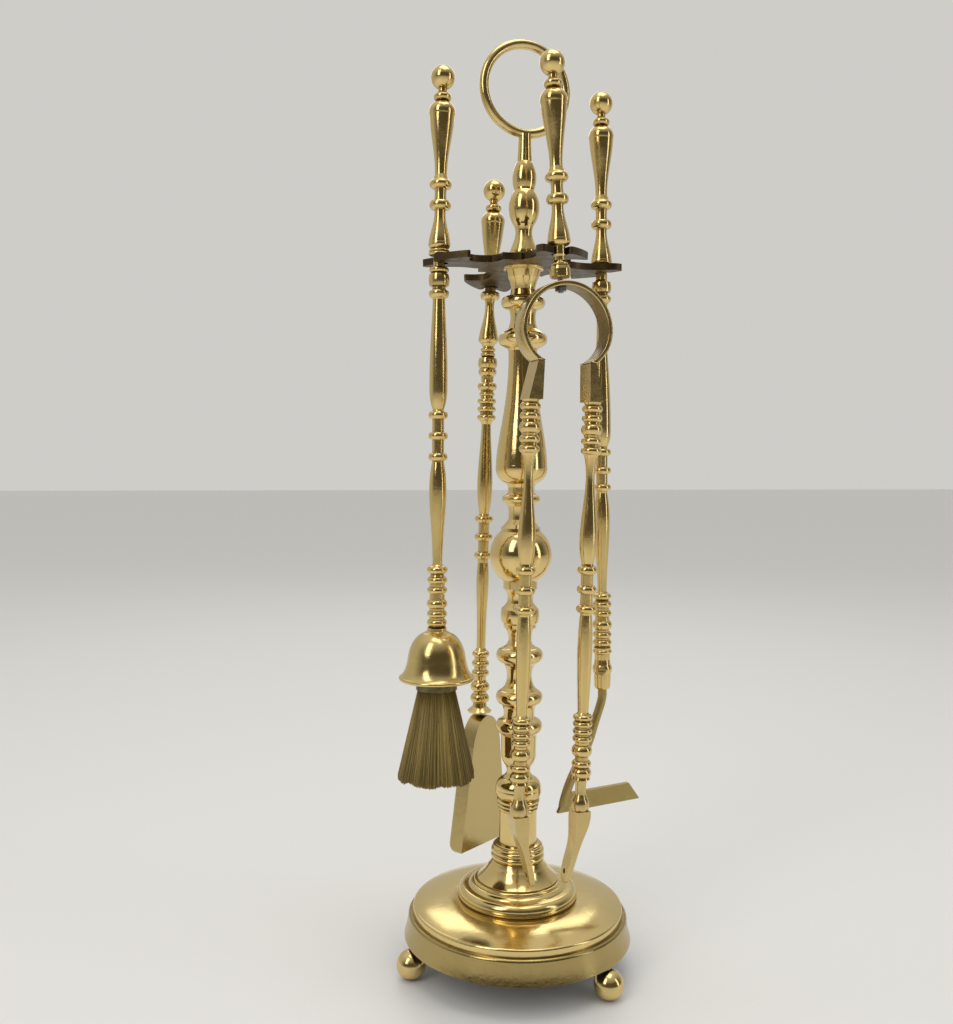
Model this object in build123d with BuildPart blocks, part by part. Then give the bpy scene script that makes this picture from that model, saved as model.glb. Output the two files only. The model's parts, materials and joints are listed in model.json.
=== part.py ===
from build123d import *
from math import cos, radians, sin, sqrt, tan
import os

os.makedirs("parts", exist_ok=True)

# ---- driving dimensions, millimetres ----
hang_radius = 71.9           # column axis to the axis of each hanging tool
plate_bottom = 577.5         # rack plate, at its hub
plate_thickness = 5.5
arm_droop = {"brush": 1.2, "tongs": 2.3, "poker": -0.5, "shovel": 5.0}  # how far each arm is bent down
arm_turn = {"brush": 180, "tongs": -90, "poker": 0, "shovel": 91.8}
notch_half_width = 5.4
notch_end = 70.2             # column axis to the middle of the round end of a notch
rest_gap = 0.5               # a hanging tool stands this far off the plate

rod_radius = 3.0             # tie rod down the middle of the column
rod_bore = 3.2
stud_radius = 2.0            # threaded studs that join the tool sections
stud_bore = 2.1
stud_depth = 8.0

foot_radius = 12.0
foot_circle = 92.0
foot_pad = 0.35              # flat worn on each foot ball
base_radius = 94.3
weight_bottom = 28.0
weight_top = 43.4
base_plate_top = 57.5
sheet = 1.6                  # spun and pressed sheet brass

ring_radius = 35.4           # ring handle, centre line
ring_bar = 3.8
ring_height = 720.8

brush_bottom = 162.0
bristle_top_radius = 15.4
bristle_radius = 31.4
bell_bottom = 243.6
bell_top = 286.0

pan_turn = 34.0              # the shovel hangs turned about its own axis
pan_front = 8.0              # flat of the pan, in front of the tool axis
pan_depth = 13.8
pan_bottom = 77.9
pan_shoulder = 168.0
pan_top = 193.5
pan_half_width = 33.5
pan_shoulder_width = 20.0

bow_height = 518.5           # centre of the tongs bow
bow_radius = 34.8            # strap centre line
strap_width = 18.5
strap_thickness = 3.6
bow_end = 495.0
leg_half_gap = 25.5
leg_top = 465.0
paddle_top = 173.0
tongs_tip = 94.6

top_of_plate = plate_bottom + plate_thickness


def tool_plane(x, y, lean, pivot_height):
    """Section plane of a hanging tool: X runs sideways, Y up along the tool, which leans about the pivot."""
    up = Vector(-sin(radians(lean)), 0, cos(radians(lean)))
    side = Vector(cos(radians(lean)), 0, sin(radians(lean)))
    foot = Vector(x, y, pivot_height) - up * pivot_height
    return Plane(origin=foot, x_dir=side, z_dir=side.cross(up))


column_plane = Plane.XZ
hang_height = 578.0
brush_plane = tool_plane(-hang_radius, 0, 0, hang_height)
brush_grip_plane = tool_plane(-hang_radius, 0, -0.95, 587.0)   # the brush and shovel grips sit a little crooked
poker_plane = tool_plane(hang_radius - 1.6, 0, 1.0, hang_height)
shovel_grip_plane = tool_plane(-2.3, hang_radius, -1.94, hang_height)
shovel_plane = tool_plane(-4.1, hang_radius, -0.95, 523.8)
shovel_pan_plane = tool_plane(0, hang_radius, -1.24, hang_height)
tongs_plane = tool_plane(0, -hang_radius, 3.1, hang_height)
bow_plane = tool_plane(-5.5, -hang_radius, -1.12, 0)


def beside(plane, distance):
    """The same section plane, moved sideways."""
    return Plane(origin=plane.origin + plane.x_dir * distance, x_dir=plane.x_dir, z_dir=plane.z_dir)


# ---- turning ----
# An outline is a list of steps from bottom to top. A step of two numbers is a straight cut to
# (radius, height), four numbers are an arc through the first point to the second, and six or more
# are a smooth curve through all of them.


def trace(steps):
    """Draw an outline in the open BuildLine and give its two ends."""
    here = steps[0]
    for step in steps[1:]:
        points = [here] + [tuple(step[i:i + 2]) for i in range(0, len(step), 2)]
        if len(points) == 2:
            Line(*points)
        elif len(points) == 3:
            ThreePointArc(*points)
        else:
            Spline(*points)
        here = points[-1]
    return steps[0], here


def turn(plane, steps, bore=0.0):
    """Turn a piece from its outline, in the open BuildPart, with a bore or a solid middle."""
    with BuildSketch(plane) as section:
        with BuildLine():
            low, high = trace(steps)
            if high[0] > bore:
                Line(high, (bore, high[1]))
            Line((bore, high[1]), (bore, low[1]))
            if low[0] > bore:
                Line((bore, low[1]), low)
        make_face()
    revolve(section.sketch, axis=Axis(plane.origin, plane.y_dir))


def turn_closed(plane, steps, mode=Mode.ADD):
    """Spin a section that is closed in itself."""
    with BuildSketch(plane) as section:
        with BuildLine():
            trace(steps)
        make_face()
    revolve(section.sketch, axis=Axis(plane.origin, plane.y_dir), mode=mode)


def drill(plane, start, end, radius):
    """Cut a round hole along the turning axis between two heights."""
    with BuildSketch(plane) as section:
        with Locations((radius / 2, (start + end) / 2)):
            Rectangle(radius, abs(end - start))
    revolve(section.sketch, axis=Axis(plane.origin, plane.y_dir), mode=Mode.SUBTRACT)


def bead(neck, middle, height, swell):
    """A round ring: in to the neck below it, out to the swell and back to the neck above."""
    half = height / 2
    return [(neck, middle - half), (swell, middle, neck, middle + half)]


def beads(neck, swell, height, middles):
    """Rings of one size at several heights."""
    steps = []
    for middle in middles:
        steps += bead(neck, middle, height, swell)
    return steps


def disc(neck, middle, height, swell):
    """A squarer collar: flat steps above and below a softly rounded edge."""
    half = height / 2
    rim = swell - 1.0
    return [(neck, middle - half), (rim, middle - half + 0.6), (swell, middle, rim, middle + half - 0.6),
            (neck, middle + half)]


def rod(plane, start, end, radius):
    """A plain round rod along the turning axis."""
    turn(plane, [(radius, start), (radius, end)])


def save(piece, name):
    piece.part.label = name
    export_step(piece.part, f"parts/{name}.step")


def studs(plane, name, heights):
    """The threaded studs at a tool's joints, all in one node."""
    with BuildPart() as piece:
        for height in heights:
            rod(plane, height - stud_depth + 0.5, height + stud_depth - 0.5, stud_radius)
    save(piece, name)


def shaft(plane, name, steps, bottom_hole=True, top_hole=True):
    """A turned tool section with a blind threaded hole at each joint."""
    bottom = steps[0][1]
    top = steps[-1][-1]
    with BuildPart() as piece:
        turn(plane, steps)
        if bottom_hole:
            drill(plane, bottom, bottom + stud_depth, stud_bore)
        if top_hole:
            drill(plane, top, top - stud_depth, stud_bore)
    save(piece, name)


# ---- base ----
rim_lip = 45.2
with BuildPart() as base_rim:
    turn_closed(column_plane, [
        (base_radius - sheet, 26.0), (base_radius, 26.0), (92.2, 34.0, 91.0, 42.0), (90.2, 44.6, 88.0, rim_lip),
        (84.0, rim_lip), (84.0, weight_top + 0.2), (87.6, weight_top + 0.2), (88.9, 42.8, 89.4, 41.4),
        (90.5, 34.0, base_radius - sheet, 26.0),
    ])
save(base_rim, "base_rim")

plate_edge = 87.2
with BuildPart() as base_plate:
    turn_closed(column_plane, [
        (rod_bore, base_plate_top), (50.0, base_plate_top), (70.0, 55.9, 85.4, 51.6),
        (86.7, 50.9, plate_edge, 49.6), (plate_edge, rim_lip), (plate_edge - sheet, rim_lip),
        (plate_edge - sheet, 49.4), (70.0, 54.2, 50.0, base_plate_top - sheet),
        (rod_bore, base_plate_top - sheet), (rod_bore, base_plate_top),
    ])
save(base_plate, "base_plate")

nut_pocket = 35.5
foot_angles = [180, 60, -60]
foot_neck_inset = 5.0        # the neck of each foot leans in under the rim
stud_circle = foot_circle - foot_neck_inset
foot_stud_top = 38.0
with BuildPart() as base_weight:
    turn(column_plane, [
        (90.2, weight_bottom), (88.4, 41.0), (86.6, weight_top), (26.0, weight_top),
        (24.0, base_plate_top - sheet),
    ], bore=rod_bore)
    drill(column_plane, weight_bottom, nut_pocket, 12.0)
    with BuildSketch(Plane.XY.offset(weight_bottom)):
        with PolarLocations(stud_circle, 3, start_angle=60):
            Circle(stud_bore)
    extrude(amount=foot_stud_top + 0.5 - weight_bottom, mode=Mode.SUBTRACT)
save(base_weight, "base_weight")

for side, angle in zip(["left", "rear_right", "front_right"], foot_angles):
    out = Vector(cos(radians(angle)), sin(radians(angle)), 0)
    across = out.rotate(Axis.Z, 90)
    ball_height = foot_radius - foot_pad
    ball_centre = out * foot_circle + Vector(0, 0, ball_height)
    neck_top = out * stud_circle + Vector(0, 0, weight_bottom)
    lean = neck_top - ball_centre
    with BuildPart() as foot:
        foot_plane = Plane(origin=ball_centre, x_dir=across, z_dir=across.cross(lean))
        turn(foot_plane, [(0, -foot_radius), (foot_radius, 0, 4.2, sqrt(foot_radius ** 2 - 4.2 ** 2)),
                          (4.2, lean.length - 2.0)])
        with BuildSketch(Plane(origin=neck_top, x_dir=across, z_dir=(0, 0, -1))):
            Circle(4.6)
        extrude(amount=2.0)
        with BuildSketch(Plane(origin=neck_top, x_dir=across, z_dir=(0, 0, -1))):
            Circle(stud_bore)
        extrude(amount=8.5, mode=Mode.SUBTRACT)
        split(bisect_by=Plane.XY, keep=Keep.TOP)
    save(foot, f"foot_{side}")

with BuildPart() as foot_studs:
    with BuildSketch(Plane.XY.offset(weight_bottom - 8.0)):
        with PolarLocations(stud_circle, 3, start_angle=60):
            Circle(stud_radius)
    extrude(amount=foot_stud_top - weight_bottom + 8.0)
save(foot_studs, "foot_studs")

# ---- column, from the base up ----
column = {
    "plinth": [
        (48.6, base_plate_top), (49.4, 58.6, 49.2, 60.6), (47.8, 65.6, 43.6, 67.4), (41.0, 67.6),
        (38.8, 69.6, 36.4, 70.4), (36.2, 71.6, 34.6, 72.4),
    ],
    "column_bell": [(33.4, 72.4), (33.6, 73.4), (28.6, 78.0, 24.4, 83.6), (22.6, 86.0, 21.2, 88.6)],
    "column_drum": [
        (20.6, 88.6), (22.2, 91.4, 20.8, 94.2), (22.0, 96.4, 20.6, 98.8), (20.6, 100.6, 18.8, 101.2),
        (18.8, 102.4), (15.7, 103.0), (15.5, 130.0), (16.6, 131.6, 15.8, 133.2), (17.2, 134.8, 16.2, 136.4),
        (18.0, 138.4, 16.9, 140.4), (18.9, 143.8, 18.9, 148.2), (17.6, 153.8, 13.0, 157.4), (10.4, 160.6),
    ],
    "column_vase": [
        (10.2, 160.6), (9.9, 164.0, 11.0, 167.6), (13.6, 172.0, 14.4, 178.0), (14.8, 193.6),
        (16.4, 195.4), (19.4, 200.8, 16.2, 206.2), (12.9, 207.6), (12.7, 211.6),
    ],
    "column_spool": [
        (12.7, 211.6), (13.2, 215.4, 14.6, 218.2), (16.0, 219.4), (19.4, 224.6, 15.4, 230.6), (12.6, 233.4),
        (10.4, 240.6, 11.4, 249.4), (12.8, 252.0), (15.2, 254.0), (19.4, 259.6, 14.0, 266.2), (10.8, 268.6),
        (9.4, 272.2),
    ],
    "column_collar": [
        (9.4, 272.2), (9.8, 277.0, 11.4, 281.2), (13.4, 283.2), (13.6, 286.0), (15.2, 287.4),
        (16.0, 293.0, 15.4, 298.4), (13.2, 300.6), (10.9, 303.6),
    ],
    "column_ball": [
        (10.9, 303.6), (10.6, 308.4, 12.0, 313.2), (14.0, 315.4), (14.0, 321.6),
        (25.6, 343.0, 16.4, 362.7), (16.2, 365.4), (13.2, 368.6), (10.4, 372.6),
    ],
    "column_ring": [
        (10.4, 372.6), (10.2, 378.0, 10.8, 383.4), (12.6, 385.8), (15.8, 389.0, 12.6, 392.6),
        (10.8, 395.0), (10.8, 399.0),
    ],
    "column_pear": [
        (10.8, 399.0), (12.0, 401.8), (19.0, 407.2, 21.1, 417.0),
        (19.2, 436.0, 15.6, 457.0, 12.6, 480.0, 11.6, 510.4),
    ],
    "column_upper_collar": [
        (11.6, 510.4), (12.4, 512.2), (16.6, 514.4), (20.0, 519.6, 17.0, 525.0), (12.4, 528.0),
        (10.3, 536.0, 11.2, 543.6), (14.6, 544.8), (18.0, 550.0, 14.0, 554.4), (10.8, 555.4), (9.8, 560.0),
    ],
    "rack_cup": [
        (9.8, 560.0), (10.6, 564.4, 12.6, 569.6), (13.6, 573.2, 14.2, 575.4), (16.4, 576.0),
        (16.8, plate_bottom),
    ],
}
for name, steps in column.items():
    with BuildPart() as piece:
        turn(column_plane, steps, bore=rod_bore)
    save(piece, name)

rod_top = 668.0
finial_top = 684.6
with BuildPart() as finial:
    turn(column_plane, [
        (9.6, top_of_plate), (10.9, 584.6, 10.9, 586.4), (11.4, 589.0, 10.6, 592.6),
        (8.2, 599.0, 6.8, 605.4, 8.2, 612.0), (12.4, 624.0, 8.4, 639.6), (8.4, 641.4),
        (9.7, 648.6, 6.9, 661.6), (6.0, 662.6), (5.5, 674.0, 5.2, finial_top),
    ])
    drill(column_plane, top_of_plate, rod_top + 0.5, rod_bore)
    with Locations((0, 0, ring_height)):
        Torus(ring_radius, ring_bar, rotation=(90, 0, 0), mode=Mode.SUBTRACT)
save(finial, "finial")

with BuildPart() as ring_handle:
    with Locations((0, 0, ring_height)):
        Torus(ring_radius, ring_bar, rotation=(90, 0, 0))
save(ring_handle, "ring_handle")

nut_bottom = 28.6
nut_top = 34.0
with BuildPart() as tie_rod:
    rod(column_plane, 27.0, rod_top, rod_radius)
save(tie_rod, "tie_rod")

with BuildPart() as tie_nut:
    with BuildSketch(Plane.XY.offset(nut_bottom)):
        RegularPolygon(6.5, 6, major_radius=False)
        Circle(rod_bore, mode=Mode.SUBTRACT)
    extrude(amount=nut_top - nut_bottom)
save(tie_nut, "tie_nut")

with BuildPart() as tie_washer:
    turn(column_plane, [(9.0, nut_top), (9.0, nut_pocket)], bore=rod_bore)
save(tie_washer, "tie_washer")


# ---- rack: a hub and four hooked arms, each bent to its own height ----
def arm_plane(tool):
    """Top face of one arm, X along the arm, turning down from the hub as it runs out."""
    out = Vector(cos(radians(arm_turn[tool])), sin(radians(arm_turn[tool])), 0)
    drop = arm_droop[tool] / (hang_radius - hub_radius)
    start = out * hub_radius + Vector(0, 0, top_of_plate)
    along = out - Vector(0, 0, drop)
    across = Vector(-out.Y, out.X, 0)
    return Plane(origin=start, x_dir=along, z_dir=along.cross(across))


hub_radius = 30.0
with BuildPart() as rack:
    with BuildSketch(Plane.XY.offset(plate_bottom)):
        with BuildLine():
            for quarter in range(4):
                lobe = Vector(29.0, -29.0).rotate(Axis.Z, 90 * quarter)
                waist = Vector(33.0, 15.0).rotate(Axis.Z, 90 * quarter)
                root = Vector(33.0, -15.0).rotate(Axis.Z, 90 * quarter)
                following = Vector(29.0, 29.0).rotate(Axis.Z, 90 * quarter)
                Spline(lobe, (lobe + root) / 2 - root * 0.03, root)
                Line(root, waist)
                Spline(waist, (waist + following) / 2 - waist * 0.05, following)
        make_face()
    extrude(amount=plate_thickness)
    for tool in arm_turn:
        notch = notch_end - hub_radius
        with BuildSketch(arm_plane(tool)):
            with BuildLine():
                Line((0, -14), (8, -14))
                Spline((8, -14), (20, -11.6), (29, -13), (39, -17.8), (48, -18.2))
                ThreePointArc((48, -18.2), (50.6, -16.6), (50.2, -13.6))
                Line((50.2, -13.6), (45.4, -notch_half_width))
                Line((45.4, -notch_half_width), (notch, -notch_half_width))
                ThreePointArc((notch, -notch_half_width), (notch - notch_half_width, 0), (notch, notch_half_width))
                Line((notch, notch_half_width), (46, notch_half_width))
                ThreePointArc((46, notch_half_width), (48.6, 6.6), (48.4, 9.4))
                Spline((48.4, 9.4), (43, 16.6), (36, 24), (28.6, 30))
                ThreePointArc((28.6, 30), (26.6, 30.2), (25.6, 28))
                Spline((25.6, 28), (24, 21), (20, 15), (14, 13.2), (6, 14))
                Line((6, 14), (0, 14))
                Line((0, 14), (0, -14))
            make_face()
        extrude(amount=-plate_thickness)
    drill(column_plane, plate_bottom - 4, top_of_plate + 4, rod_bore)
save(rack, "rack")


# ---- grips: one pattern for all four tools ----
def grip_steps(rest, waist):
    """Grip outline above its rest face; waist is the middle of the neck between the two collars."""
    ball = rest + 133.5
    ball_radius = 9.5
    throat = 3.5
    ball_start = ball - sqrt(ball_radius ** 2 - throat ** 2)
    return [
        (6.8, rest), (8.5, rest + 2.0, 8.5, rest + 5.0),
        (6.8, rest + 14.0, 5.0, rest + 22.0, 4.5, waist - 11.8),
        (7.5, waist - 11.2), (8.5, waist - 8.3, 7.5, waist - 5.2), (4.9, waist - 4.6),
        (4.6, waist, 4.9, waist + 4.6), (7.6, waist + 5.2), (8.8, waist + 8.2, 7.4, waist + 11.0),
        (6.4, waist + 11.8), (5.0, waist + 15.6), (4.8, waist + 18.0),
        (6.5, rest + 78.0, 8.8, rest + 93.0, 10.0, rest + 104.0), (8.9, rest + 111.4, 5.2, rest + 114.6),
        (4.6, rest + 115.2), (7.0, rest + 118.4, 4.4, rest + 121.4), (throat, rest + 122.4),
        (throat, ball_start), (ball_radius, ball, 0, ball + ball_radius),
    ]


usual_waist = 42.4
brush_rest_rings = 5.0


def rest_height(tool):
    """Height at which a tool's shoulder meets the top of its arm."""
    return top_of_plate - arm_droop[tool] + rest_gap


brush_rest = rest_height("brush")
brush_grip_bottom = brush_rest + brush_rest_rings + 0.15
poker_grip_bottom = rest_height("poker")
tongs_grip_bottom = rest_height("tongs") + 0.4
shovel_grip_bottom = 523.9
shovel_waist = rest_height("shovel") - 4.6 - shovel_grip_bottom

for tool, plane, bottom, waist in [
    ("brush", brush_grip_plane, brush_grip_bottom, usual_waist),
    ("poker", poker_plane, poker_grip_bottom, usual_waist),
    ("tongs", tongs_plane, tongs_grip_bottom, usual_waist),
    ("shovel", shovel_grip_plane, shovel_grip_bottom, shovel_waist),
]:
    with BuildPart() as piece:
        turn(plane, grip_steps(bottom, bottom + waist))
        drill(plane, bottom, bottom + stud_depth, stud_bore)
    save(piece, f"{tool}_grip")

# ---- hearth brush ----
neck = 4.7                   # plain neck that passes through the rack
brush_joint = 419.0
shaft(brush_plane, "brush_upper_shaft", [
    (4.8, brush_joint), *disc(4.8, 423.2, 6.4, 7.7), *disc(4.8, 439.9, 6.4, 7.7), *disc(4.8, 456.4, 6.4, 7.7),
    (4.4, 460.6), (6.6, 469.0, 7.2, 480.5, 6.5, 514.0, 4.9, 548.0),
    *bead(5.2, 552.4, 7.4, 8.0), (5.2, 557.6), (7.6, 558.4), (8.2, 563.4, 7.6, 567.6), (5.4, 568.4),
    *bead(5.4, 571.0, 4.4, 7.8), (neck, 573.4), (neck, brush_rest - 0.3), (7.6, brush_rest),
    *bead(7.6, brush_rest + 1.3, 2.4, 8.5), *bead(7.2, brush_rest + 3.7, 2.2, 8.2),
    (6.8, brush_grip_bottom),
])
brush_gap = 286.0
shaft(brush_plane, "brush_lower_shaft", [
    (5.4, brush_gap), (7.4, 286.8), *beads(6.3, 8.1, 5.6, [290.0, 297.0]), *bead(6.3, 305.2, 7.0, 8.3),
    *beads(6.1, 8.1, 5.6, [316.3, 324.4]), *bead(5.2, 332.6, 6.4, 8.3), (4.0, 337.0),
    (4.1, 346.0, 5.2, 366.0, 6.9, 396.8, 4.8, brush_joint),
])
with BuildPart() as brush_bell:
    turn(brush_plane, [
        (27.0, bell_bottom), (29.4, bell_bottom), (30.6, 245.3, 29.2, 246.8),
        (26.2, 251.0, 24.2, 257.6, 22.6, 266.0, 18.6, 275.4, 10.6, 282.0), (8.0, 283.4), (7.8, bell_top),
    ], bore=stud_bore)
    turn_closed(brush_plane, [
        (0, bell_bottom - 1.0), (26.8, bell_bottom - 1.0), (26.8, 245.6),
        (24.2, 250.6, 22.2, 257.2, 20.6, 265.4, 16.6, 273.0, 11.6, 276.6), (0, 276.6), (0, bell_bottom - 1.0),
    ], mode=Mode.SUBTRACT)
save(brush_bell, "brush_bell")

core_top = 276.4
shaft(brush_plane, "brush_block", [(14.5, 242.0), (14.5, 264.0), (10.6, 272.0), (10.6, core_top)],
      bottom_hole=False)
with BuildPart() as brush_ferrule:
    turn_closed(brush_plane, [
        (bristle_top_radius, 236.0), (bristle_top_radius + 1.2, 236.0), (bristle_top_radius + 1.0, 246.0),
        (14.6, 246.0), (14.6, 242.0), (bristle_top_radius, 242.0), (bristle_top_radius, 236.0),
    ])
save(brush_ferrule, "brush_ferrule")
with BuildPart() as brush_bristles:
    turn(brush_plane, [(bristle_radius - 0.6, brush_bottom), (bristle_radius, brush_bottom + 4.0),
                       (24.6, 196.0, bristle_top_radius, 235.8), (14.6, 236.4), (14.6, 242.0)])
save(brush_bristles, "brush_bristles")
with BuildPart() as brush_studs:
    for height in (brush_grip_bottom, brush_joint):
        rod(brush_plane, height - stud_depth + 0.5, height + stud_depth - 0.5, stud_radius)
    rod(brush_plane, core_top - stud_depth + 0.5, brush_gap + stud_depth - 0.5, stud_radius)
save(brush_studs, "brush_studs")

# ---- poker ----
poker_joint = 394.0
poker_gap = 263.0
shaft(poker_plane, "poker_upper_shaft", [
    (4.6, poker_joint), *disc(4.8, 398.6, 6.2, 7.7), *disc(4.8, 413.0, 6.2, 7.7), *disc(4.8, 428.4, 6.2, 7.7),
    (4.5, 432.6), (6.8, 438.6, 7.6, 449.0, 6.4, 490.0, 4.9, 552.0),
    *bead(5.2, 556.6, 7.0, 8.0), (5.2, 561.4), (7.6, 562.2), (8.2, 566.4, 7.6, 570.4), (5.4, 571.2),
    (neck, 572.6), (neck, poker_grip_bottom),
])
shaft(poker_plane, "poker_lower_shaft", [
    (7.2, poker_gap), *beads(6.2, 8.0, 5.6, [266.4, 273.2]), *bead(6.2, 281.6, 8.0, 8.3),
    *beads(6.0, 8.0, 5.6, [291.4, 299.2]), *bead(5.0, 306.0, 5.4, 7.8), (3.9, 310.4),
    (4.0, 318.0, 5.2, 340.0, 6.6, 371.0, 4.6, poker_joint),
])
socket_bottom = 227.0
bar_radius = 3.8
screw_height = 243.4
screw_turn = -28.0
with BuildPart() as poker_socket:
    turn(poker_plane, [
        (6.0, socket_bottom), (6.8, 228.4), (7.2, 236.0), (7.2, 239.6), (8.3, 243.6, 7.2, 247.6),
        (6.6, 252.0), (6.6, 256.6), *bead(7.4, 258.8, 3.2, 8.2), (7.4, poker_gap - 0.8), (5.0, poker_gap - 0.8),
        (5.0, poker_gap),
    ])
    drill(poker_plane, socket_bottom, 250.0, bar_radius + 0.1)
    drill(poker_plane, 254.0, poker_gap, stud_bore)
    screw_out = Vector(0, -1, 0).rotate(Axis.Z, screw_turn)
    screw_seat = poker_plane.origin + poker_plane.y_dir * screw_height
    with BuildSketch(Plane(origin=screw_seat + screw_out * 3.0, z_dir=screw_out)):
        Circle(2.0)
    extrude(amount=8.0, mode=Mode.SUBTRACT)
save(poker_socket, "poker_socket")

with BuildPart() as poker_screw:
    with BuildSketch(Plane(origin=screw_seat + screw_out * 5.0, z_dir=screw_out)):
        Circle(1.9)
    extrude(amount=3.4)
    with BuildSketch(Plane(origin=screw_seat + screw_out * 8.3, z_dir=screw_out)):
        Circle(3.6)
    extrude(amount=2.0)
    fillet(poker_screw.faces().sort_by(Axis(screw_seat, screw_out))[-1].edges(), 1.0)
    with BuildSketch(Plane(origin=screw_seat + screw_out * 9.5, z_dir=screw_out)):
        Rectangle(8.0, 0.9)
    extrude(amount=1.0, mode=Mode.SUBTRACT)
save(poker_screw, "poker_screw")

hook_bend = 222.0
hook_route = [(0, hook_bend), (-0.4, 218.0), (-2.4, 211.0), (-6.6, 199.7), (-12.6, 182.6), (-21.2, 166.0),
              (-29.8, 150.0), (-34.6, 138.0), (-37.2, 128.4)]
blade_thickness = 4.2
blade_corners = [(-42.6, 123.4), (34.4, 127.6), (24.6, 142.0), (-34.0, 139.4)]
with BuildPart() as poker_hook:
    with BuildLine(poker_plane) as route:
        Spline(*hook_route)
    bar_start = route.line @ 0
    bar_end = route.line @ 1
    with BuildSketch(Plane(origin=bar_start, x_dir=(0, 1, 0), z_dir=route.line % 0)):
        Circle(bar_radius - 0.1)
    with BuildSketch(Plane(origin=bar_end, x_dir=(0, 1, 0), z_dir=route.line % 1)):
        Ellipse(blade_thickness / 2 + 0.4, 4.2)
    sweep(path=route.line, multisection=True)
    rod(poker_plane, hook_bend - 0.6, 249.5, bar_radius)
    with BuildSketch(poker_plane) as blade:
        with BuildLine():
            Polyline(*blade_corners, close=True)
        make_face()
    extrude(blade.sketch, amount=blade_thickness / 2, both=True)
save(poker_hook, "poker_hook")
studs(poker_plane, "poker_studs", [poker_grip_bottom, poker_joint, poker_gap - 1.0])

# ---- shovel ----
shovel_joint = 330.0
shaft(shovel_plane, "shovel_upper_shaft", [
    (4.6, shovel_joint), *disc(4.8, 336.4, 6.6, 8.1), *disc(4.8, 352.8, 6.6, 8.1), *disc(4.8, 368.8, 6.6, 8.1),
    (4.3, 373.6), (5.6, 382.0, 6.6, 394.7, 5.8, 422.0, 4.1, 452.8),
    *beads(5.8, 8.2, 5.4, [458.8, 466.2, 473.2]), *bead(5.6, 479.4, 3.6, 6.8), *bead(5.6, 486.2, 7.6, 8.5),
    (5.4, 492.0), (5.6, 495.0), *bead(6.8, 499.0, 6.0, 8.0), (7.6, 502.8), (8.5, 507.0, 7.6, 511.0), (5.6, 512.0),
    *beads(5.2, 6.6, 3.6, [514.2, 518.4]), (5.0, 521.2), (6.4, shovel_grip_bottom),
])
foot_flange = 199.0
shaft(shovel_plane, "shovel_lower_shaft", [
    (10.4, foot_flange - 3.0), (10.8, foot_flange - 1.6), (6.6, foot_flange + 2.0), *bead(6.0, 208.4, 8.4, 8.5),
    *bead(6.0, 218.8, 8.6, 8.5), (5.2, 225.0), *beads(5.6, 7.8, 5.6, [231.2, 239.6, 248.2]), (4.0, 253.6),
    (4.0, 262.0, 4.5, 287.0, 5.5, 314.0, 4.6, shovel_joint),
])

lean_up = shovel_pan_plane.y_dir
pan_side = shovel_pan_plane.x_dir.rotate(Axis((0, 0, 0), lean_up), pan_turn)
pan_plane = Plane(origin=shovel_pan_plane.origin, x_dir=pan_side, z_dir=pan_side.cross(lean_up))
pan_edge_plane = Plane(origin=pan_plane.origin, x_dir=pan_plane.z_dir, z_dir=pan_plane.z_dir.cross(lean_up))


def pan_outline(inset, bottom):
    """Front outline of the pan: straight flared sides under a round arch."""
    shoulder = pan_shoulder_width - inset
    corner = pan_half_width - inset
    crown = pan_top - inset
    with BuildLine() as outline:
        Line((-corner, bottom), (corner, bottom))
        Line((corner, bottom), (shoulder, pan_shoulder))
        Spline((shoulder, pan_shoulder), (0, crown), (-shoulder, pan_shoulder),
               tangents=[(-0.2, 1), (-0.2, -1)])
        Line((-shoulder, pan_shoulder), (-corner, bottom))
    make_face(outline.edges())


with BuildPart() as shovel_pan:
    with BuildSketch(pan_plane.offset(pan_front)):
        pan_outline(0.0, pan_bottom)
    extrude(amount=-pan_depth)
    with BuildSketch(pan_plane.offset(pan_front - sheet)):
        pan_outline(sheet, pan_bottom - 3.0)
    extrude(amount=-pan_depth, mode=Mode.SUBTRACT)
    with BuildSketch(pan_edge_plane):
        with BuildLine():
            back = pan_front - pan_depth
            Polyline((back - 1, pan_bottom - 1), (back + 7, pan_bottom - 1), (back + 7, pan_bottom))
            ThreePointArc((back + 7, pan_bottom), (back + 2, pan_bottom + 2), (back, pan_bottom + 7))
            Polyline((back, pan_bottom + 7), (back - 1, pan_bottom + 7), (back - 1, pan_bottom - 1))
        make_face()
    extrude(amount=pan_half_width + 5, both=True, mode=Mode.SUBTRACT)
    drill(shovel_plane, pan_top - 8.0, pan_top + 4.0, 2.6)
save(shovel_pan, "shovel_pan")

with BuildPart() as pan_rivet:
    turn(shovel_plane, [(5.0, pan_top - 5.4), (5.0, pan_top - 3.4), (2.4, pan_top - 3.0), (2.4, pan_top + 2.2)])
save(pan_rivet, "pan_rivet")
studs(shovel_plane, "shovel_studs", [shovel_grip_bottom, shovel_joint])

# ---- tongs: handle, sprung bow and two legs ----
spool_bottom = 557.6
shaft(tongs_plane, "tongs_spool", [
    (7.0, spool_bottom), (8.0, spool_bottom + 1.0), (8.0, 564.0), (7.2, 566.4), *bead(5.4, 568.2, 2.6, 6.2),
    (4.2, 570.6), (4.3, 573.4), (neck, 575.0), (neck, tongs_grip_bottom),
])
with BuildPart() as tongs_studs:
    rod(tongs_plane, tongs_grip_bottom - stud_depth + 0.5, tongs_grip_bottom + stud_depth - 0.5, stud_radius)
    rod(tongs_plane, 546.6, spool_bottom + stud_depth - 0.5, stud_radius)
save(tongs_studs, "tongs_studs")
with BuildPart() as bow_nut:
    with BuildSketch(Plane(origin=tongs_plane.origin + tongs_plane.y_dir * 547.8, z_dir=tongs_plane.y_dir)):
        RegularPolygon(4.0, 6, major_radius=False)
        Circle(stud_bore, mode=Mode.SUBTRACT)
    extrude(amount=2.6)
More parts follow.
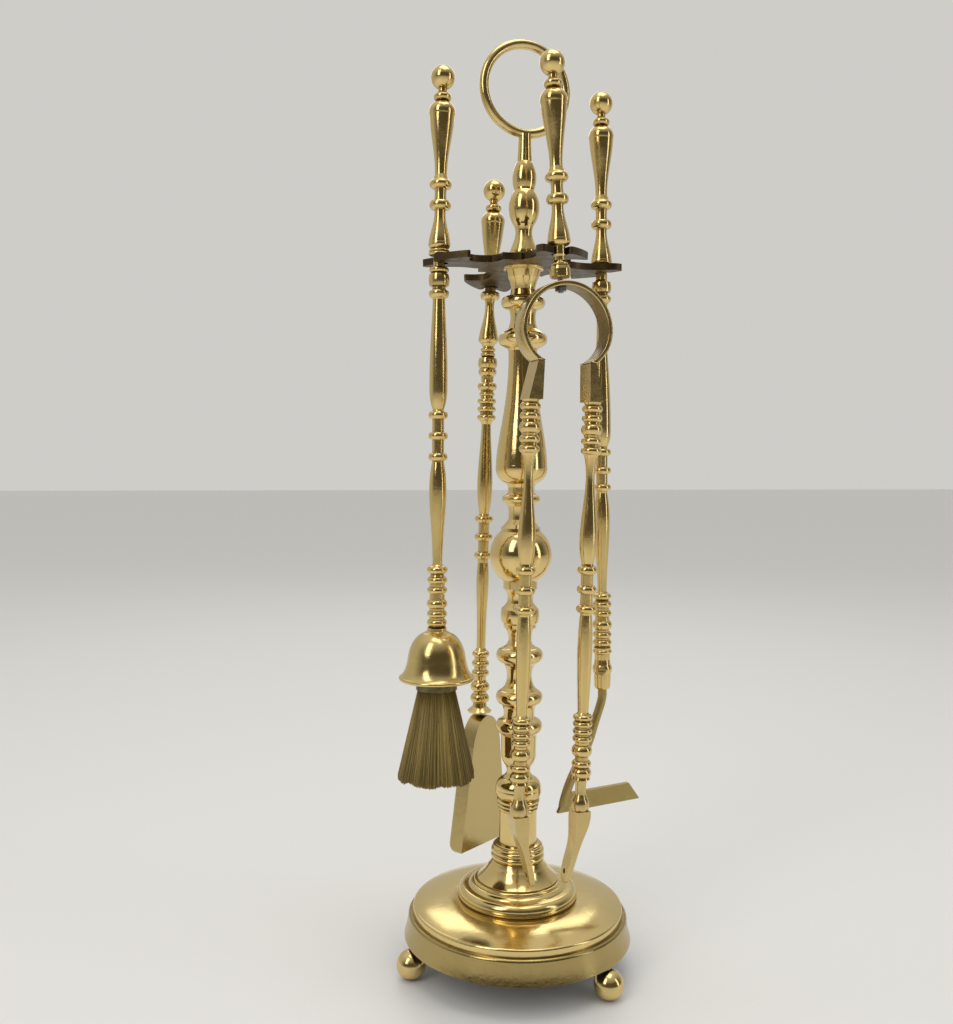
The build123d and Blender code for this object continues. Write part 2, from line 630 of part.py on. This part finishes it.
save(bow_nut, "bow_nut")

lower_arc = 27.1             # the bow closes in on a tighter curve below its widest point
lower_centre = bow_radius - lower_arc


def bow_half(side, radius_change):
    """One side of the bow's outline, from the crown to its lower end, and where it ends."""
    top = bow_radius + radius_change
    low = lower_arc + radius_change
    drop = bow_height - bow_end
    end = (side * (lower_centre + sqrt(low ** 2 - drop ** 2)), bow_end)
    slope = radians(45)
    ThreePointArc((0, bow_height + top), (side * top * cos(slope), bow_height + top * sin(slope)),
                  (side * top, bow_height))
    ThreePointArc((side * top, bow_height),
                  (side * (lower_centre + low * cos(slope / 1.6)), bow_height - low * sin(slope / 1.6)), end)
    return end


with BuildPart() as tongs_bow:
    with BuildSketch(bow_plane):
        with BuildLine():
            for side in (-1, 1):
                outer_end = bow_half(side, strap_thickness / 2)
                inner_end = bow_half(side, -strap_thickness / 2)
                Line(outer_end, inner_end)
        make_face()
    extrude(amount=strap_width / 2, both=True)
    drill(tongs_plane, 540.0, 562.0, stud_bore + 0.2)
save(tongs_bow, "tongs_bow")

socket_gap = 0.4
tip_joint = 174.4
knop_joint = 303.0
for side, name in ((-1, "left"), (1, "right")):
    leg_plane = beside(bow_plane, side * leg_half_gap)
    with BuildPart() as socket:
        for height, thickness, centre in [(bow_end - socket_gap, 5.2, 21.2), (leg_top + 1.0, 11.2, 24.9)]:
            level = Plane(origin=bow_plane.origin + bow_plane.y_dir * height + bow_plane.x_dir * side * centre,
                          x_dir=bow_plane.x_dir, z_dir=bow_plane.y_dir)
            with BuildSketch(level):
                Rectangle(thickness, strap_width)
        loft()
        drill(leg_plane, leg_top + 1.0, leg_top + 1.0 + stud_depth, stud_bore)
    save(socket, f"tongs_socket_{name}")

    shaft(leg_plane, f"tongs_upper_leg_{name}", [
        (4.6, knop_joint), *bead(5.0, 307.6, 6.4, 7.9), *disc(4.8, 322.6, 6.4, 7.7), *disc(4.8, 337.6, 6.4, 7.7),
        (4.6, 342.6), (6.2, 351.0, 5.6, 380.0, 4.9, 424.0), *beads(5.8, 7.9, 5.8, [429.0, 436.4]),
        *bead(6.0, 445.2, 8.6, 8.2), *beads(5.8, 7.9, 5.8, [453.8, 461.0]), (6.8, leg_top + 1.0),
    ])
    shaft(leg_plane, f"tongs_lower_leg_{name}", [
        (5.2, tip_joint), (7.2, 175.6), *bead(6.6, 180.4, 6.0, 7.8), *bead(5.4, 187.4, 5.6, 7.6),
        *bead(5.2, 197.6, 9.4, 8.0), *beads(5.6, 7.6, 4.8, [206.8, 212.6, 218.4]), *bead(5.4, 223.6, 4.6, 7.6),
        (4.2, 227.6), (5.0, 246.0, 5.8, 276.0, 4.6, knop_joint),
    ])
    studs(leg_plane, f"tongs_studs_{name}", [tip_joint, knop_joint, leg_top + 1.0])

    inward = -side
    with BuildPart() as paddle:
        turn(leg_plane, [
            (4.6, 146.0), (6.2, 150.0), (7.0, 156.0, 5.4, 161.0), (4.3, 163.6), (4.1, 168.0, 4.6, tip_joint),
        ])
        with BuildSketch(leg_plane):
            with BuildLine():
                Line((6.0 * side, 151.0), (-6.0 * side, 151.0))
                Spline((-6.0 * side, 151.0), (6.2 * inward, 140.0), (6.6 * inward, 125.0),
                       (10.4 * inward, 110.0), (13.0 * inward, 97.0))
                ThreePointArc((13.0 * inward, 97.0), (11.6 * inward, tongs_tip), (9.6 * inward, 96.6))
                Spline((9.6 * inward, 96.6), (6.0 * inward, 110.0), (0.6 * inward, 127.0),
                       (4.6 * side, 140.0), (6.0 * side, 151.0))
            make_face()
        extrude(amount=7.2, both=True)
        blade_plane = Plane(origin=leg_plane.origin, x_dir=(0, 1, 0), z_dir=leg_plane.x_dir)
        with BuildSketch(blade_plane):
            with BuildLine():
                for half in (-1, 1):
                    Line((0, 180.0), (half * 7.2, 180.0))
                    Line((half * 7.2, 180.0), (half * 7.2, 140.0))
                    Spline((half * 7.2, 140.0), (half * 6.8, 120.0), (half * 5.4, 103.0), (half * 4.2, 98.0))
                    ThreePointArc((half * 4.2, 98.0), (half * 2.4, 95.4), (0, tongs_tip))
            make_face()
        extrude(amount=20.0, both=True, mode=Mode.INTERSECT)
        dimple = leg_plane.origin + leg_plane.y_dir * 104.0
        with BuildSketch(Plane(origin=dimple, z_dir=leg_plane.x_dir)):
            Circle(2.0)
        extrude(amount=20.0, both=True, mode=Mode.SUBTRACT)
        drill(leg_plane, tip_joint, tip_joint - stud_depth, stud_bore)
    save(paddle, f"tongs_paddle_{name}")
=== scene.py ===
import bpy, bmesh, json, random
from math import sin, cos, radians, sqrt, pi
from mathutils import Vector, Matrix, noise


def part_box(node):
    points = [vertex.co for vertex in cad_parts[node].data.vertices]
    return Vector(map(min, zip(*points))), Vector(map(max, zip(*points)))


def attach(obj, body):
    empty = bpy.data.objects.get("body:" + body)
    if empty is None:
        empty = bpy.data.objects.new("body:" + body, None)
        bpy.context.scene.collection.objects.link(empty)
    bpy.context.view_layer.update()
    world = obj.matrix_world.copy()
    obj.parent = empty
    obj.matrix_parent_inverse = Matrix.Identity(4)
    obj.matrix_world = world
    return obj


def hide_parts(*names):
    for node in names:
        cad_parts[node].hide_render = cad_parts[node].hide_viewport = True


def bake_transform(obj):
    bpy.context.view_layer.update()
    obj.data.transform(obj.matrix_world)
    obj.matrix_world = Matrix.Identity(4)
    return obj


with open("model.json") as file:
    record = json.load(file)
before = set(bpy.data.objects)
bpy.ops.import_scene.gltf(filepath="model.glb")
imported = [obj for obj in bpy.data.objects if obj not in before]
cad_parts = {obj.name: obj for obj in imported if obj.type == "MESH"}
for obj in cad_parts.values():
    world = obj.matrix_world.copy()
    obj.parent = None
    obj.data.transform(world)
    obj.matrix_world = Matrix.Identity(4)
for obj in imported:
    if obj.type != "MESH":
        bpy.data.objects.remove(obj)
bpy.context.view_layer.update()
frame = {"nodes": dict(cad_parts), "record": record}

nodes = frame["nodes"]
random.seed(11)

# polished and tarnished brass, one entry for each finish on the set; shadeAndGrime sets the painted shade and
# grime in the grooves
brassKinds = {
    "column": dict(tint=(0.80, 0.61, 0.26), tarnish=(0.24, 0.15, 0.045),
                   rough=0.13, grain=0.35, blotch=0.45, shadeAndGrime=0.9),
    "base": dict(tint=(0.80, 0.62, 0.27), tarnish=(0.28, 0.18, 0.06),
                 rough=0.17, grain=0.5, blotch=0.45, shadeAndGrime=0.8),
    "skirt": dict(tint=(0.46, 0.35, 0.14), tarnish=(0.15, 0.10, 0.03),
                  rough=0.2, grain=0.4, blotch=0.8, shadeAndGrime=0.8),
    "ring": dict(tint=(0.76, 0.58, 0.26), tarnish=(0.25, 0.16, 0.05),
                 rough=0.2, grain=0.0, blotch=0.6, shadeAndGrime=0.5),
    "tool": dict(tint=(0.78, 0.59, 0.245), tarnish=(0.22, 0.14, 0.04),
                 rough=0.16, grain=0.35, blotch=0.5, shadeAndGrime=1.0),
    "strap": dict(tint=(0.68, 0.52, 0.23), tarnish=(0.20, 0.13, 0.04),
                  rough=0.24, grain=0.0, blotch=0.7, shadeAndGrime=0.6),
    # painted shade and tarnish: the inner face of the bent strap, darker than its outer face
    "strapInsideShadeAndTarnish": dict(tint=(0.27, 0.21, 0.095), tarnish=(0.10, 0.07, 0.025),
                        rough=0.4, grain=0.0, blotch=1.0, shadeAndGrime=0.6),
    "bell": dict(tint=(0.76, 0.59, 0.25), tarnish=(0.26, 0.17, 0.05),
                 rough=0.2, grain=0.3, blotch=0.7, shadeAndGrime=0.7),
    "hook": dict(tint=(0.44, 0.335, 0.13), tarnish=(0.17, 0.12, 0.04),
                 rough=0.36, grain=0.0, blotch=0.9, shadeAndGrime=0.5),
    "pan": dict(tint=(0.58, 0.45, 0.195), tarnish=(0.20, 0.14, 0.05),
                rough=0.17, grain=0.0, blotch=0.6, shadeAndGrime=0.6),
    "rack": dict(tint=(0.105, 0.074, 0.036), tarnish=(0.03, 0.02, 0.009),
                 rough=0.42, grain=0.0, blotch=1.0, shadeAndGrime=0.4),
}
# how every brass finish wears, and how far the painted groove shade reaches; sizes are noise scales or metres
brassWear = dict(
    patchScale=38, patchShare=0.55, warmer=(0.93, 0.86, 0.72),
    freckleScale=900, freckleShare=0.5,
    grooveShadeReach=0.005, crestReach=0.0022, crestShine=0.55,
    smearScale=120, dirtRough=0.22,
    latheScale=2600, latheStrength=0.12, latheDepth=0.0002,
    pitScale=260, rackPitScale=420, pitStrength=0.10, pitBlotch=0.25, pitDepth=0.0004,
)
plainKinds = {
    "steel": dict(name="stockSteel", color=(0.42, 0.42, 0.43), dark=(0.3, 0.3, 0.31),
                  rough=0.36, scale=240, bump=0.15, metallic=1.0),
    "iron": dict(name="castIron", color=(0.05, 0.05, 0.052), dark=(0.022, 0.022, 0.024),
                 rough=0.62, scale=320, bump=0.5, metallic=0.6),
    "ferrule": dict(name="dullFerrule", color=(0.21, 0.18, 0.10), dark=(0.11, 0.09, 0.045),
                    rough=0.33, scale=150, bump=0.2, metallic=1.0),
    "wood": dict(name="turnedBlock", color=(0.23, 0.13, 0.06), dark=(0.13, 0.07, 0.03),
                 rough=0.55, scale=90, bump=0.3, metallic=0.0),
}
straw = dict(dark=(0.07, 0.046, 0.011), middle=(0.235, 0.165, 0.04), light=(0.46, 0.34, 0.10),
             fleck=(0.12, 0.08, 0.02), fleckScale=700, fleckShare=0.35, smooth=0.42, rough=0.58)
slotFinish = {
    "base_brass": "base", "column_brass": "column", "ring_brass": "ring", "tool_brass": "tool",
    "strap_brass": "strap", "rack_brass": "rack", "bell_brass": "bell", "hook_brass": "hook",
    "pan_brass": "pan", "ferrule": "ferrule", "bristle": "bristle", "block_wood": "wood",
    "iron": "iron", "steel": "steel",
}
nodeFinish = {"base_rim": "skirt"}  # duller than the rest of its slot


def newMaterial(name):
    mat = bpy.data.materials.new(name)
    mat.use_nodes = True
    tree = mat.node_tree
    return mat, tree, tree.nodes["Principled BSDF"]


def mixColor(tree, factor, first, second):
    mix = tree.nodes.new("ShaderNodeMix")
    mix.data_type = "RGBA"
    for socket, value in ((0, factor), (6, first), (7, second)):
        if hasattr(value, "is_output"):
            tree.links.new(value, mix.inputs[socket])
        else:
            mix.inputs[socket].default_value = value if socket == 0 else (*value, 1)
    return mix.outputs[2]


def stretch(tree, source, low, high, toLow, toHigh):
    ranged = tree.nodes.new("ShaderNodeMapRange")
    for socket, value in enumerate((low, high, toLow, toHigh), start=1):
        ranged.inputs[socket].default_value = value
    tree.links.new(source, ranged.inputs[0])
    return ranged.outputs[0]


def combine(tree, first, second, operation):
    sums = tree.nodes.new("ShaderNodeMath")
    sums.operation = operation
    sums.use_clamp = True
    for socket, value in ((0, first), (1, second)):
        if hasattr(value, "is_output"):
            tree.links.new(value, sums.inputs[socket])
        else:
            sums.inputs[socket].default_value = value
    return sums.outputs[0]


def cloud(tree, coords, scale, detail, roughness=0.5):
    speckle = tree.nodes.new("ShaderNodeTexNoise")
    speckle.inputs["Scale"].default_value = scale
    speckle.inputs["Detail"].default_value = detail
    speckle.inputs["Roughness"].default_value = roughness
    tree.links.new(coords, speckle.inputs["Vector"])
    return speckle.outputs["Fac"]


def addBump(tree, height, strength, depth, under=None):
    bump = tree.nodes.new("ShaderNodeBump")
    bump.inputs["Strength"].default_value = strength
    bump.inputs["Distance"].default_value = depth
    tree.links.new(height, bump.inputs["Height"])
    if under:
        tree.links.new(under, bump.inputs["Normal"])
    return bump.outputs[0]


def occlusion(tree, samples, reach, inside):
    shade = tree.nodes.new("ShaderNodeAmbientOcclusion")
    shade.samples = samples
    shade.inside = inside
    shade.inputs["Distance"].default_value = reach
    return shade.outputs["AO"]


def makeBrass(kind, tint, tarnish, rough, grain, blotch, shadeAndGrime):
    wear = brassWear
    mat, tree, shader = newMaterial(kind + "Brass")
    coords = tree.nodes.new("ShaderNodeTexCoord").outputs["Object"]

    # old polish: broad warm and cool patches, small dark freckles
    patches = stretch(tree, cloud(tree, coords, wear["patchScale"], 5, 0.6), 0.42, 0.72,
                      0, wear["patchShare"] * blotch)
    freckles = stretch(tree, cloud(tree, coords, wear["freckleScale"], 3, 0.75), 0.62, 0.74,
                       0, wear["freckleShare"] * blotch)
    # painted shade darkens the grooves, and grime there dulls them; rubbed bright on the crests
    grooveShade = stretch(tree, occlusion(tree, 6, wear["grooveShadeReach"], False), 0.35, 0.85, 1, 0)
    grooveShadeAndGrime = combine(tree, grooveShade, shadeAndGrime, "MULTIPLY")
    worn = stretch(tree, occlusion(tree, 4, wear["crestReach"], True), 0.35, 0.8, wear["crestShine"], 0)

    warm = tuple(c * m for c, m in zip(tint, wear["warmer"]))
    bright = tuple(min(1, c * 1.08 + 0.03) for c in tint)
    color = mixColor(tree, patches, tint, warm)
    color = mixColor(tree, freckles, color, tarnish)
    # painted shade: occluded grooves are darkened towards the tarnish colour
    color = mixColor(tree, grooveShadeAndGrime, color, tarnish)
    color = mixColor(tree, worn, color, bright)
    tree.links.new(color, shader.inputs["Base Color"])
    shader.inputs["Metallic"].default_value = 1.0

    smear = stretch(tree, cloud(tree, coords, wear["smearScale"], 6, 0.7), 0.35, 0.75,
                    rough * 0.75, rough * 1.35)
    dull = combine(tree, grooveShadeAndGrime, wear["dirtRough"], "MULTIPLY")
    tree.links.new(combine(tree, smear, dull, "ADD"), shader.inputs["Roughness"])

    # lathe lines run round the piece, small pits lie any way
    lines = tree.nodes.new("ShaderNodeTexNoise")
    lines.noise_dimensions = "1D"
    lines.inputs["Scale"].default_value = wear["latheScale"]
    lines.inputs["Detail"].default_value = 2
    split = tree.nodes.new("ShaderNodeSeparateXYZ")
    tree.links.new(coords, split.inputs[0])
    tree.links.new(split.outputs["Z"], lines.inputs["W"])
    turned = addBump(tree, lines.outputs["Fac"], wear["latheStrength"] * grain, wear["latheDepth"])
    pits = cloud(tree, coords, wear["rackPitScale" if kind == "rack" else "pitScale"], 5, 0.6)
    strength = wear["pitStrength"] + wear["pitBlotch"] * blotch * blotch
    tree.links.new(addBump(tree, pits, strength, wear["pitDepth"], turned), shader.inputs["Normal"])
    return mat


def makePlain(name, color, dark, rough, scale, bump, metallic):
    mat, tree, shader = newMaterial(name)
    coords = tree.nodes.new("ShaderNodeTexCoord").outputs["Object"]
    mottle = cloud(tree, coords, scale, 5)
    mixed = mixColor(tree, stretch(tree, mottle, 0.35, 0.7, 0, 1), color, dark)
    tree.links.new(mixed, shader.inputs["Base Color"])
    uneven = stretch(tree, mottle, 0.3, 0.7, rough * 0.85, rough * 1.15)
    tree.links.new(uneven, shader.inputs["Roughness"])
    tree.links.new(addBump(tree, mottle, bump, 0.0005), shader.inputs["Normal"])
    shader.inputs["Metallic"].default_value = metallic
    return mat


def makeBristle():
    # every fibre has its own shade, kept in a face attribute
    mat, tree, shader = newMaterial("strawFibre")
    shade = tree.nodes.new("ShaderNodeAttribute")
    shade.attribute_name = "shade"
    ramp = tree.nodes.new("ShaderNodeValToRGB")
    ramp.color_ramp.elements[0].color = (*straw["dark"], 1)
    ramp.color_ramp.elements[1].color = (*straw["light"], 1)
    ramp.color_ramp.elements.new(0.5).color = (*straw["middle"], 1)
    tree.links.new(shade.outputs["Fac"], ramp.inputs["Fac"])
    coords = tree.nodes.new("ShaderNodeTexCoord").outputs["Object"]
    fleck = cloud(tree, coords, straw["fleckScale"], 4)
    spots = stretch(tree, fleck, 0.5, 0.75, 0, straw["fleckShare"])
    tree.links.new(mixColor(tree, spots, ramp.outputs[0], straw["fleck"]), shader.inputs["Base Color"])
    gloss = stretch(tree, fleck, 0.3, 0.7, straw["smooth"], straw["rough"])
    tree.links.new(gloss, shader.inputs["Roughness"])
    return mat


mats = {kind: makeBrass(kind, **values) for kind, values in brassKinds.items()}
mats.update({kind: makePlain(**values) for kind, values in plainKinds.items()})
mats["bristle"] = makeBristle()
for part in frame["record"]["subparts"]:
    shown = nodes[part["node"]]
    finish = mats[nodeFinish.get(part["node"], slotFinish[part["material_slot"]])]
    if not shown.material_slots:
        shown.data.materials.append(finish)
    for holder in shown.material_slots:
        holder.material = finish
print("finishes on", len(nodes), "parts")


def finishPiece(bm, name, body, finish, replaced=(), smooth=True):
    mesh = bpy.data.meshes.new(name)
    bm.to_mesh(mesh)
    bm.free()
    mesh.materials.append(mats[finish])
    for face in mesh.polygons:
        face.use_smooth = smooth
    piece = bpy.data.objects.new(name, mesh)
    bpy.context.scene.collection.objects.link(piece)
    if body:
        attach(piece, body)
    if replaced:
        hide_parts(*replaced)
    return piece


brushFibres = dict(
    count=5200, thick=0.00027, taper=0.8, rootRadius=0.0149, tipRadius=0.0309,
    rootHeight=0.2415, rootInset=0.0055, tipHeight=0.1636, tipClear=0.0004,
    skin=0.9, fan=0.035, dome=0.002, uneven=0.0048, stray=0.0016,
    tone=0.5, tuftTone=0.3, toneSpread=0.24,
)
fibreCore = dict(segments=64, tipShare=0.9, rootShare=0.92, shorter=0.009, lift=0.0035, tone=0.12)


def brushAxis():
    low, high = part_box("brush_bristles")
    middle = (Vector(low) + Vector(high)) / 2
    return Vector((middle.x, middle.y, 0)), low[2]


def buildFibres(spec):
    axis, bottom = brushAxis()
    bm = bmesh.new()
    shade = bm.faces.layers.float.new("shade")
    for index in range(spec["count"]):
        # two in three fibres lie in the outer skin, the rest fill the tip
        outer = index % 3 != 0
        spread = random.uniform(spec["skin"], 1.0) if outer else sqrt(random.random())
        angle = random.uniform(0, 2 * pi)
        root = axis + Vector((cos(angle), sin(angle), 0)) * spec["rootRadius"] * spread
        root.z = spec["rootHeight"] - spec["rootInset"]
        sideways = angle + random.gauss(0, spec["fan"])
        tip = axis + Vector((cos(sideways), sin(sideways), 0)) * spec["tipRadius"] * spread
        tuft = noise.noise(Vector((cos(angle) * 3, sin(angle) * 3, spread * 2)))
        ragged = abs(random.gauss(0, spec["stray"]))
        tip.z = spec["tipHeight"] + spec["dome"] * (1 - spread) + tuft * spec["uneven"] * 0.6 + ragged
        tip.z = max(bottom + spec["tipClear"], tip.z)
        run = tip - root
        lying = run.to_track_quat("-Z", "Y").to_matrix().to_4x4()
        made = bmesh.ops.create_cone(
            bm, segments=4, cap_ends=True, radius1=spec["thick"], radius2=spec["thick"] * spec["taper"],
            depth=run.length, matrix=Matrix.Translation((root + tip) / 2) @ lying)
        clump = noise.noise(Vector((cos(angle) * 9, sin(angle) * 9, 0.3)))
        tone = spec["tone"] + spec["tuftTone"] * clump + random.gauss(0, spec["toneSpread"])
        for face in {f for v in made["verts"] for f in v.link_faces}:
            face[shade] = min(1, max(0, tone))
    return finishPiece(bm, "bristleFibres", "brush", "bristle", ("brush_bristles",), smooth=True)


def buildFibreCore(fibres, core):
    # packed middle of the bundle, so no light shows through
    axis, bottom = brushAxis()
    middle = axis + Vector((0, 0, (fibres["rootHeight"] + fibres["tipHeight"]) / 2 + core["lift"]))
    bm = bmesh.new()
    bmesh.ops.create_cone(
        bm, segments=core["segments"], cap_ends=True,
        radius1=fibres["tipRadius"] * core["tipShare"], radius2=fibres["rootRadius"] * core["rootShare"],
        depth=fibres["rootHeight"] - fibres["tipHeight"] - core["shorter"], matrix=Matrix.Translation(middle))
    shade = bm.faces.layers.float.new("shade")
    for face in bm.faces:
        face[shade] = core["tone"]
    return finishPiece(bm, "bristleCore", "brush", "bristle", ("brush_bristles",), smooth=False)


buildFibres(brushFibres)
buildFibreCore(brushFibres, fibreCore)
print("brush fibres")

# the tongs bow is one bent strap, made as two halves that each follow a leg
bow = dict(
    lean=-1.12, foot=-0.0055, centre=0.5185, radius=0.0348, lowerRadius=0.0271, endHeight=0.4949,
    width=0.0185, thick=0.0036, rounding=0.0009, endInside=0.0187,
    upperSteps=24, lowerSweep=68, lowerSteps=20, sharpEdge=0.7, bendFrom=0.004, bendTo=0.050,
)


def buildBowHalf(side, name):
    lean = radians(-bow["lean"])
    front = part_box("tongs_bow")[0][1]
    centre = Vector((bow["foot"] + sin(lean) * bow["centre"], front + bow["width"] / 2,
                     bow["centre"] * cos(lean)))
    near = 1e-6
    bm = bmesh.new()
    # the section stands at the crown and is spun down to the widest point, then in on the tighter curve
    bmesh.ops.create_grid(
        bm, x_segments=1, y_segments=1, size=0.5,
        matrix=Matrix.Translation((0, 0, bow["radius"])) @ Matrix.Rotation(pi / 2, 4, "Y")
        @ Matrix.Diagonal((bow["thick"], bow["width"], 1, 1)))
    upper = bmesh.ops.spin(bm, geom=bm.faces[:], cent=(0, 0, 0), axis=(0, 1, 0),
                           angle=side * pi / 2, steps=bow["upperSteps"])
    joint = [g for g in upper["geom_last"] if isinstance(g, bmesh.types.BMFace)]
    bmesh.ops.spin(bm, geom=joint, cent=(side * (bow["radius"] - bow["lowerRadius"]), 0, 0), axis=(0, 1, 0),
                   angle=side * radians(bow["lowerSweep"]), steps=bow["lowerSteps"])
    bmesh.ops.delete(bm, geom=joint, context="FACES_ONLY")
    # the halves run into each other at the crown, and the lower end is sawn off level
    crownFaces = [f for f in bm.faces if all(abs(v.co.x) < near for v in f.verts)]
    bmesh.ops.delete(bm, geom=crownFaces, context="FACES_ONLY")
    level = bow["endHeight"] - bow["centre"]
    bmesh.ops.bisect_plane(bm, geom=bm.verts[:] + bm.edges[:] + bm.faces[:],
                           plane_co=(0, 0, level), plane_no=(0, 0, -1), clear_outer=True)
    cut = [e for e in bm.edges if all(abs(v.co.z - level) < near for v in e.verts)]
    for vert in {v for e in cut for v in e.verts}:
        vert.co.x = side * max(abs(vert.co.x), bow["endInside"])  # last bit of the strap turns straight down
    bmesh.ops.contextual_create(bm, geom=cut)
    bmesh.ops.recalc_face_normals(bm, faces=bm.faces)
    long = [e for e in bm.edges if len(e.link_faces) == 2 and e.calc_face_angle(0) > bow["sharpEdge"]
            and abs(e.verts[0].co.y - e.verts[1].co.y) < near]
    bmesh.ops.bevel(bm, geom=long, offset=bow["rounding"], affect="EDGES", segments=3, profile=0.5, material=-1)
    # painted shade and tarnish: faces on the inner side of the bend take the darker second finish
    for face in bm.faces:
        middle = face.calc_center_median()
        if abs(face.normal.y) < 0.5 and face.normal.dot(middle) < 0 and middle.z > level + 1e-5:
            face.material_index = 1
    bmesh.ops.transform(bm, matrix=Matrix.Translation(centre) @ Matrix.Rotation(lean, 4, "Y"), verts=bm.verts)
    piece = finishPiece(bm, name, None, "strap", ("tongs_bow",))
    piece.data.materials.append(mats["strapInsideShadeAndTarnish"])
    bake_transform(piece)
    return piece


buildBowHalf(-1, "bowLeft")
buildBowHalf(1, "bowRight")
print("tongs bow")

room = dict(
    floorColor=(0.80, 0.795, 0.775), floorRough=0.42, floorSize=14, backColor=(0.62, 0.61, 0.58),
    front=(0.10, 0.088, 0.065), wall=(0.60, 0.59, 0.56), ceiling=(0.95, 0.94, 0.92),
    even=(0.80, 0.79, 0.765), strength=0.85,
)
softboxes = {
    "key": dict(at=(-1.5, -0.9, 1.6), size=(0.6, 1.6), power=8.5, color=(1.0, 0.97, 0.92)),
    "fill": dict(at=(1.5, -1.2, 0.9), size=(0.3, 1.6), power=3.4, color=(0.97, 0.98, 1.0)),
    "top": dict(at=(0.1, -0.1, 2.3), size=(1.3, 1.3), power=9, color=(1.0, 0.99, 0.97)),
    "rim": dict(at=(0.6, 1.9, 1.7), size=(1.6, 0.8), power=5, color=(1.0, 0.99, 0.97)),
}
lightTarget = (0, 0, 0.36)
view = dict(distance=0.8417, height=0.4188, swing=-21.761, turn=2.5016, pitch=2.7624, roll=0.4552, lens=35.888)


def buildStage():
    bm = bmesh.new()
    bmesh.ops.create_grid(bm, x_segments=1, y_segments=1, size=room["floorSize"])
    mesh = bpy.data.meshes.new("floor")
    bm.to_mesh(mesh)
    bm.free()
    floor = bpy.data.objects.new("floor", mesh)
    bpy.context.scene.collection.objects.link(floor)
    mat, tree, shader = newMaterial("paleFloor")
    shader.inputs["Base Color"].default_value = (*room["floorColor"], 1)
    shader.inputs["Roughness"].default_value = room["floorRough"]
    mesh.materials.append(mat)


def buildWorld():
    # pale room, darker on the viewer's side so the metal has something dark to mirror;
    # the floor gets even light, and behind the set there is one plain tone
    world = bpy.data.worlds.new("room")
    bpy.context.scene.world = world
    world.use_nodes = True
    tree = world.node_tree
    back = tree.nodes["Background"]
    back.inputs["Strength"].default_value = room["strength"]
    seen = tree.nodes.new("ShaderNodeBackground")
    seen.inputs["Color"].default_value = (*room["backColor"], 1)
    seen.inputs["Strength"].default_value = 1.0
    direction = tree.nodes.new("ShaderNodeTexCoord").outputs["Generated"]
    parts = tree.nodes.new("ShaderNodeSeparateXYZ")
    tree.links.new(direction, parts.inputs[0])
    behind = stretch(tree, parts.outputs["Y"], -0.35, 0.35, 0.0, 1.0)
    overhead = stretch(tree, parts.outputs["Z"], 0.45, 0.95, 0.0, 0.7)
    color = mixColor(tree, behind, room["front"], room["wall"])
    color = mixColor(tree, overhead, color, room["ceiling"])
    path = tree.nodes.new("ShaderNodeLightPath")
    even = mixColor(tree, path.outputs["Is Diffuse Ray"], color, room["even"])
    tree.links.new(even, back.inputs["Color"])
    blend = tree.nodes.new("ShaderNodeMixShader")
    tree.links.new(path.outputs["Is Camera Ray"], blend.inputs[0])
    tree.links.new(back.outputs[0], blend.inputs[1])
    tree.links.new(seen.outputs[0], blend.inputs[2])
    tree.links.new(blend.outputs[0], tree.nodes["World Output"].inputs["Surface"])


def buildLights():
    for name, spec in softboxes.items():
        lamp = bpy.data.lights.new(name, "AREA")
        lamp.shape = "RECTANGLE"
        lamp.size, lamp.size_y = spec["size"]
        lamp.energy = spec["power"]
        lamp.color = spec["color"]
        holder = bpy.data.objects.new(name, lamp)
        aim = Vector(lightTarget) - Vector(spec["at"])
        facing = aim.to_track_quat("-Z", "Y").to_matrix().to_4x4()
        holder.matrix_world = Matrix.Translation(spec["at"]) @ facing
        bpy.context.scene.collection.objects.link(holder)


def buildCamera():
    swing, turn, pitch, roll = (radians(view[k]) for k in ("swing", "turn", "pitch", "roll"))
    level = Vector((-sin(swing + turn), cos(swing + turn), 0))
    ahead = level * cos(pitch) + Vector((0, 0, -sin(pitch)))
    right = ahead.cross(Vector((0, 0, 1))).normalized()
    up = right.cross(ahead)
    rolledRight = right * cos(roll) + up * sin(roll)
    rolledUp = up * cos(roll) - right * sin(roll)
    lens = bpy.data.cameras.new("camera")
    lens.lens = view["lens"]
    lens.sensor_width = 36
    lens.clip_start = 0.02
    lens.clip_end = 60
    eye = bpy.data.objects.new("camera", lens)
    turned = Matrix((rolledRight, rolledUp, -ahead)).transposed().to_4x4()
    spot = Vector((view["distance"] * sin(swing), -view["distance"] * cos(swing), view["height"]))
    eye.matrix_world = Matrix.Translation(spot) @ turned
    bpy.context.scene.collection.objects.link(eye)
    bpy.context.scene.camera = eye


buildStage()
buildWorld()
buildLights()
buildCamera()
bpy.context.scene.view_settings.view_transform = "Standard"
print("stage, light and camera")
